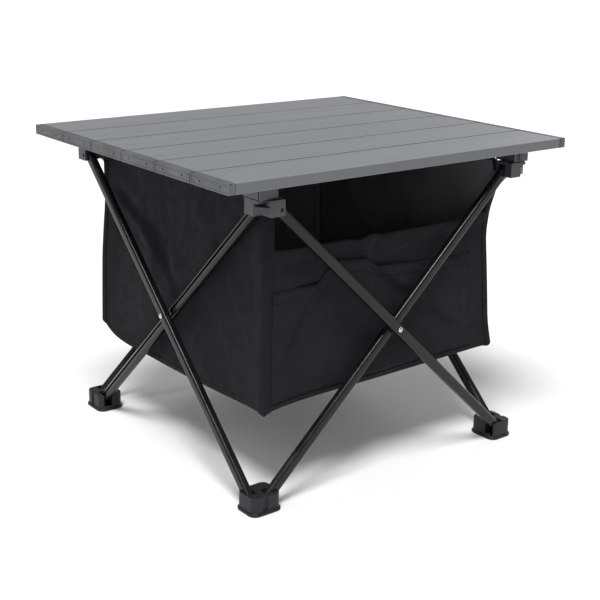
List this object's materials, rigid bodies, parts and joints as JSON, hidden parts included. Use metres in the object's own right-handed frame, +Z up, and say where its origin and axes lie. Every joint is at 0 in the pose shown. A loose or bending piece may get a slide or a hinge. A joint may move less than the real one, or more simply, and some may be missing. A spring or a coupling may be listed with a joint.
{
  "type": "folding camp kitchen table",
  "caption": "Small roll-up aluminium slat table on a square folding scissor frame, with a hanging fabric storage basket and front pocket.",
  "frame": {"origin": "on the floor, under the centre of the tabletop", "axes": "+X along the slats to the right, +Y to the back, +Z up; the pocket side of the basket faces -Y"},
  "size_m": [0.4, 0.344, 0.308],
  "materials": {
    "aluminium": "brushed grey anodised aluminium, fine lengthwise lines",
    "cap_plastic": "dark grey moulded plastic, matte",
    "clip_plastic": "dark grey moulded plastic, matte",
    "hub_plastic": "dark grey glass-filled plastic, matte",
    "foot_plastic": "black plastic foot, matte",
    "leg_enamel": "gloss black powder-coated flat-oval aluminium tube",
    "steel": "bright zinc-plated steel rivets",
    "pin_steel": "blackened steel hub pins",
    "button": "black plastic latch button",
    "basket_cloth": "black coated polyester cloth, plain weave"
  },
  "bodies": {
    "slat_1": {"slat_1": "aluminium", "cap_1_left": "cap_plastic", "cap_1_right": "cap_plastic", "clip_front_left": "clip_plastic", "clip_front_right": "clip_plastic"},
    "slat_2": {"slat_2": "aluminium", "cap_2_left": "cap_plastic", "cap_2_right": "cap_plastic"},
    "slat_3": {"slat_3": "aluminium", "cap_3_left": "cap_plastic", "cap_3_right": "cap_plastic"},
    "slat_4": {"slat_4": "aluminium", "cap_4_left": "cap_plastic", "cap_4_right": "cap_plastic"},
    "slat_5": {"slat_5": "aluminium", "cap_5_left": "cap_plastic", "cap_5_right": "cap_plastic"},
    "slat_6": {"slat_6": "aluminium", "cap_6_left": "cap_plastic", "cap_6_right": "cap_plastic", "clip_back_left": "clip_plastic", "clip_back_right": "clip_plastic"},
    "button_front_right": {"button_front_right": "button"},
    "button_back_left": {"button_back_left": "button"},
    "hub_front_left": {"hub_front_left": "hub_plastic", "pin_front_left_outer": "pin_steel", "pin_front_left_inner": "pin_steel", "basket_front": "basket_cloth", "basket_left": "basket_cloth", "basket_pocket": "basket_cloth"},
    "foot_front_left": {"foot_front_left": "foot_plastic"},
    "hub_front_right": {"hub_front_right": "hub_plastic", "pin_front_right_outer": "pin_steel", "pin_front_right_inner": "pin_steel", "basket_right": "basket_cloth"},
    "foot_front_right": {"foot_front_right": "foot_plastic"},
    "hub_back_right": {"hub_back_right": "hub_plastic", "pin_back_right_outer": "pin_steel", "pin_back_right_inner": "pin_steel"},
    "foot_back_right": {"foot_back_right": "foot_plastic"},
    "hub_back_left": {"hub_back_left": "hub_plastic", "pin_back_left_outer": "pin_steel", "pin_back_left_inner": "pin_steel", "basket_back": "basket_cloth"},
    "foot_back_left": {"foot_back_left": "foot_plastic"},
    "leg_front_inner": {"leg_front_inner": "leg_enamel", "rivet_front": "steel"},
    "leg_front_outer": {"leg_front_outer": "leg_enamel"},
    "leg_right_inner": {"leg_right_inner": "leg_enamel", "rivet_right": "steel"},
    "leg_right_outer": {"leg_right_outer": "leg_enamel"},
    "leg_back_inner": {"leg_back_inner": "leg_enamel", "rivet_back": "steel"},
    "leg_back_outer": {"leg_back_outer": "leg_enamel"},
    "leg_left_inner": {"leg_left_inner": "leg_enamel", "rivet_left": "steel"},
    "leg_left_outer": {"leg_left_outer": "leg_enamel"},
    "basket_floor_front": {"basket_floor_front": "basket_cloth"},
    "basket_floor_back": {"basket_floor_back": "basket_cloth"}
  },
  "joints": [
    {"name": "frame_fold", "type": "hinge", "parent": "foot_front_left", "child": "leg_front_inner", "pos_m": [-0.141, -0.148, 0.012], "axis": [0, -1, 0], "range_deg": [0, 42], "deforming": ["basket_front", "basket_left", "basket_pocket", "basket_right", "basket_back", "basket_floor_front", "basket_floor_back"]},
    {"name": "hub_front_right_pin", "type": "hinge", "parent": "leg_front_inner", "child": "hub_front_right", "pos_m": [0.141, -0.148, 0.278], "axis": [0, -1, 0], "range_deg": [-42, 0]},
    {"name": "front_rivet", "type": "hinge", "parent": "leg_front_inner", "child": "leg_front_outer", "pos_m": [0, -0.148, 0.145], "axis": [0, -1, 0], "range_deg": [-84, 0]},
    {"name": "hub_front_left_pin", "type": "hinge", "parent": "leg_front_outer", "child": "hub_front_left", "pos_m": [-0.141, -0.157, 0.278], "axis": [0, -1, 0], "range_deg": [0, 42]},
    {"name": "foot_front_right_pin", "type": "hinge", "parent": "leg_front_outer", "child": "foot_front_right", "pos_m": [0.141, -0.157, 0.012], "axis": [0, -1, 0], "range_deg": [0, 42]},
    {"name": "left_leg_pin", "type": "hinge", "parent": "foot_front_left", "child": "leg_left_outer", "pos_m": [-0.157, -0.141, 0.012], "axis": [1, 0, 0], "range_deg": [0, 42]},
    {"name": "hub_back_left_pin", "type": "hinge", "parent": "leg_left_outer", "child": "hub_back_left", "pos_m": [-0.157, 0.141, 0.278], "axis": [1, 0, 0], "range_deg": [-42, 0]},
    {"name": "left_rivet", "type": "hinge", "parent": "leg_left_outer", "child": "leg_left_inner", "pos_m": [-0.157, 0, 0.145], "axis": [1, 0, 0], "range_deg": [-84, 0]},
    {"name": "foot_back_left_pin", "type": "hinge", "parent": "leg_left_inner", "child": "foot_back_left", "pos_m": [-0.148, 0.141, 0.012], "axis": [1, 0, 0], "range_deg": [0, 42]},
    {"name": "right_leg_pin", "type": "hinge", "parent": "foot_front_right", "child": "leg_right_inner", "pos_m": [0.148, -0.141, 0.012], "axis": [1, 0, 0], "range_deg": [0, 42]},
    {"name": "hub_back_right_pin", "type": "hinge", "parent": "leg_right_inner", "child": "hub_back_right", "pos_m": [0.148, 0.141, 0.278], "axis": [1, 0, 0], "range_deg": [-42, 0]},
    {"name": "right_rivet", "type": "hinge", "parent": "leg_right_inner", "child": "leg_right_outer", "pos_m": [0.148, 0, 0.145], "axis": [1, 0, 0], "range_deg": [-84, 0]},
    {"name": "foot_back_right_pin", "type": "hinge", "parent": "leg_right_outer", "child": "foot_back_right", "pos_m": [0.157, 0.141, 0.012], "axis": [1, 0, 0], "range_deg": [0, 42]},
    {"name": "back_leg_pin", "type": "hinge", "parent": "foot_back_left", "child": "leg_back_outer", "pos_m": [-0.141, 0.157, 0.012], "axis": [0, -1, 0], "range_deg": [0, 42]},
    {"name": "back_rivet", "type": "hinge", "parent": "leg_back_outer", "child": "leg_back_inner", "pos_m": [0, 0.157, 0.145], "axis": [0, -1, 0], "range_deg": [-84, 0]},
    {"name": "top_lift", "type": "slide", "parent": "hub_front_left", "child": "slat_1", "axis": [0, 0, 1], "range_m": [0, 0.221]},
    {"name": "floor_front_crease", "type": "hinge", "parent": "hub_front_left", "child": "basket_floor_front", "pos_m": [0, -0.1386, 0.0926], "axis": [1, 0, 0], "range_deg": [0, 84]},
    {"name": "floor_back_crease", "type": "hinge", "parent": "hub_back_left", "child": "basket_floor_back", "pos_m": [0, 0.1386, 0.0926], "axis": [1, 0, 0], "range_deg": [-84, 0]},
    {"name": "slat_roll", "type": "hinge", "parent": "slat_1", "child": "slat_2", "pos_m": [0, -0.115, 0.308], "axis": [1, 0, 0], "range_deg": [0, 58]},
    {"name": "slat_roll_3", "type": "hinge", "parent": "slat_2", "child": "slat_3", "pos_m": [0, -0.0575, 0.308], "axis": [1, 0, 0], "range_deg": [0, 58]},
    {"name": "slat_roll_4", "type": "hinge", "parent": "slat_3", "child": "slat_4", "pos_m": [0, 0, 0.308], "axis": [1, 0, 0], "range_deg": [0, 58]},
    {"name": "slat_roll_5", "type": "hinge", "parent": "slat_4", "child": "slat_5", "pos_m": [0, 0.0575, 0.308], "axis": [1, 0, 0], "range_deg": [0, 58]},
    {"name": "slat_roll_6", "type": "hinge", "parent": "slat_5", "child": "slat_6", "pos_m": [0, 0.115, 0.308], "axis": [1, 0, 0], "range_deg": [0, 58]},
    {"name": "button_press_front_right", "type": "slide", "parent": "slat_1", "child": "button_front_right", "axis": [0, 1, 0], "range_m": [0, 0.002], "stiffness_N_per_m": 400},
    {"name": "button_press_back_left", "type": "slide", "parent": "slat_6", "child": "button_back_left", "axis": [0, -1, 0], "range_m": [0, 0.002], "stiffness_N_per_m": 400}
  ],
  "couplings": [
    {"joint": "hub_front_right_pin", "follows": "frame_fold", "ratio": -1},
    {"joint": "front_rivet", "follows": "frame_fold", "ratio": -2},
    {"joint": "hub_front_left_pin", "follows": "frame_fold", "ratio": 1},
    {"joint": "foot_front_right_pin", "follows": "frame_fold", "ratio": 1},
    {"joint": "left_leg_pin", "follows": "frame_fold", "ratio": 1},
    {"joint": "hub_back_left_pin", "follows": "frame_fold", "ratio": -1},
    {"joint": "left_rivet", "follows": "frame_fold", "ratio": -2},
    {"joint": "foot_back_left_pin", "follows": "frame_fold", "ratio": 1},
    {"joint": "right_leg_pin", "follows": "frame_fold", "ratio": 1},
    {"joint": "hub_back_right_pin", "follows": "frame_fold", "ratio": -1},
    {"joint": "right_rivet", "follows": "frame_fold", "ratio": -2},
    {"joint": "foot_back_right_pin", "follows": "frame_fold", "ratio": 1},
    {"joint": "back_leg_pin", "follows": "frame_fold", "ratio": 1},
    {"joint": "back_rivet", "follows": "frame_fold", "ratio": -2},
    {"joint": "top_lift", "follows": "frame_fold", "m_per_rad": 0.3},
    {"joint": "floor_front_crease", "follows": "frame_fold", "ratio": 2},
    {"joint": "floor_back_crease", "follows": "frame_fold", "ratio": -2},
    {"joint": "slat_roll_3", "follows": "slat_roll", "ratio": 1},
    {"joint": "slat_roll_4", "follows": "slat_roll", "ratio": 1},
    {"joint": "slat_roll_5", "follows": "slat_roll", "ratio": 1},
    {"joint": "slat_roll_6", "follows": "slat_roll", "ratio": 1}
  ]
}
